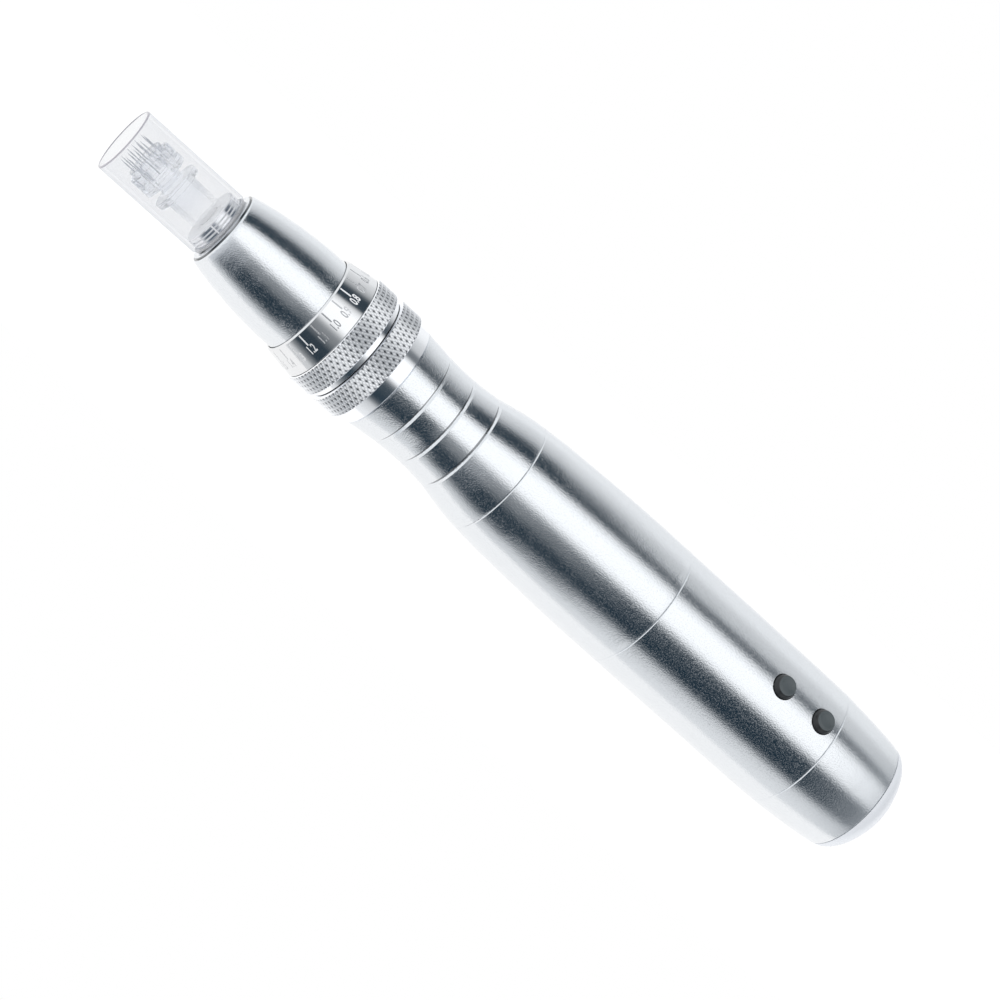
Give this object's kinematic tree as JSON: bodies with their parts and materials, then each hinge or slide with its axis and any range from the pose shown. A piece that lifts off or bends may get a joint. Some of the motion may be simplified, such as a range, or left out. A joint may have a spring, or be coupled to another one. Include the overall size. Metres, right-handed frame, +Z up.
{
  "type": "microneedling pen",
  "caption": "Cordless microneedling pen: waisted round metal handle with a motor, a screw depth ring with a scale, a clear needle cartridge and sprung buttons.",
  "frame": {"origin": "middle of the pen's length and width, on the surface that the lying pen rests on", "axes": "+X along the pen from the needles to the end cap, +Y across it, +Z up through the two buttons"},
  "size_m": [0.1704, 0.024, 0.025],
  "materials": {
    "blasted_aluminium": "fine bead-blasted and anodised silver",
    "polished_aluminium": "turned and polished",
    "knurled_steel": "diamond-knurled, bright",
    "pearl_cap": "smooth pearl silver",
    "clear_polycarbonate": "clear moulded polycarbonate",
    "needle_steel": "ground stainless",
    "spring_steel": "drawn wire",
    "turned_brass": "turned",
    "grey_rubber": "matt dark grey",
    "clear_silicone": "satin translucent",
    "white_acetal": "machined acetal",
    "motor_can": "plated",
    "cell_wrap": "blue film round the cell",
    "board_laminate": "green laminate",
    "black_plastic": "moulded"
  },
  "bodies": {
    "handle": {"grip_ring": "knurled_steel", "guide_sleeve": "polished_aluminium", "key_pin": "needle_steel", "front_housing": "blasted_aluminium", "middle_barrel": "blasted_aluminium", "rear_barrel": "blasted_aluminium", "tail_sleeve": "blasted_aluminium", "end_cap": "pearl_cap", "charging_socket": "black_plastic", "charging_pin": "needle_steel", "front_bushing": "turned_brass", "rear_bushing": "turned_brass", "rod_spring": "spring_steel", "motor_plate": "white_acetal", "motor_can": "motor_can", "motor_endbell": "black_plastic", "motor_holder": "white_acetal", "front_stop": "white_acetal", "rear_stop": "white_acetal", "battery": "cell_wrap", "battery_contact": "turned_brass", "control_board": "board_laminate", "front_switch": "black_plastic", "rear_switch": "black_plastic"},
    "depth_ring": {"scale_ring": "polished_aluminium", "depth_knob": "knurled_steel", "depth_pin": "needle_steel"},
    "nose": {"nose_cone": "blasted_aluminium"},
    "cartridge": {"cartridge_shell": "clear_polycarbonate", "cartridge_base": "clear_polycarbonate", "cartridge_seal": "clear_silicone"},
    "return_spring": {"cartridge_spring": "spring_steel"},
    "needle_group": {"needle_holder": "clear_polycarbonate", "needle_01": "needle_steel", "needle_02": "needle_steel", "needle_03": "needle_steel", "needle_04": "needle_steel", "needle_05": "needle_steel", "needle_06": "needle_steel", "needle_07": "needle_steel", "needle_08": "needle_steel", "needle_09": "needle_steel", "needle_10": "needle_steel", "needle_11": "needle_steel", "needle_12": "needle_steel"},
    "rod": {"push_rod": "needle_steel", "follower_head": "white_acetal", "follower_axle": "needle_steel"},
    "roller": {"follower_roller": "spring_steel"},
    "rotor": {"swash_cam": "polished_aluminium", "motor_shaft": "needle_steel"},
    "front_key": {"front_button": "grey_rubber"},
    "rear_key": {"rear_button": "grey_rubber"}
  },
  "joints": [
    {"name": "depth_turn", "type": "hinge", "parent": "handle", "child": "depth_ring", "pos_m": [0, 0, 0.01194], "axis": [-1, 0, 0], "range_deg": [0, 344.35]},
    {"name": "depth_travel", "type": "slide", "parent": "handle", "child": "nose", "axis": [1, 0, 0], "range_m": [0, 0.0022]},
    {"name": "cartridge_pull", "type": "slide", "parent": "nose", "child": "cartridge", "axis": [-1, 0, 0], "range_m": [0, 0.03]},
    {"name": "spring_shift", "type": "slide", "parent": "cartridge", "child": "return_spring", "axis": [-1, 0, 0], "range_m": [0, 0.0022]},
    {"name": "needle_drive", "type": "slide", "parent": "handle", "child": "rod", "axis": [-1, 0, 0], "range_m": [0, 0.002], "stiffness_N_per_m": 500},
    {"name": "needle_travel", "type": "slide", "parent": "return_spring", "child": "needle_group", "axis": [-1, 0, 0], "range_m": [0, 0.002]},
    {"name": "motor_spin", "type": "hinge", "parent": "handle", "child": "rotor", "pos_m": [0, 0, 0.01194], "axis": [1, 0, 0], "continuous": true},
    {"name": "roller_spin", "type": "hinge", "parent": "rod", "child": "roller", "pos_m": [-0.0145, 0, 0.01594], "axis": [0, 0, 1], "continuous": true},
    {"name": "front_press", "type": "slide", "parent": "handle", "child": "front_key", "axis": [0, 0, -1], "range_m": [0, 0.0004], "stiffness_N_per_m": 1500},
    {"name": "rear_press", "type": "slide", "parent": "handle", "child": "rear_key", "axis": [0, 0, -1], "range_m": [0, 0.0004], "stiffness_N_per_m": 1500}
  ],
  "couplings": [
    {"joint": "depth_turn", "follows": "depth_travel", "rad_per_m": 2731.8},
    {"joint": "spring_shift", "follows": "depth_travel", "ratio": 1},
    {"joint": "needle_travel", "follows": "needle_drive", "ratio": 1},
    {"joint": "roller_spin", "follows": "motor_spin", "ratio": -2.6667}
  ]
}
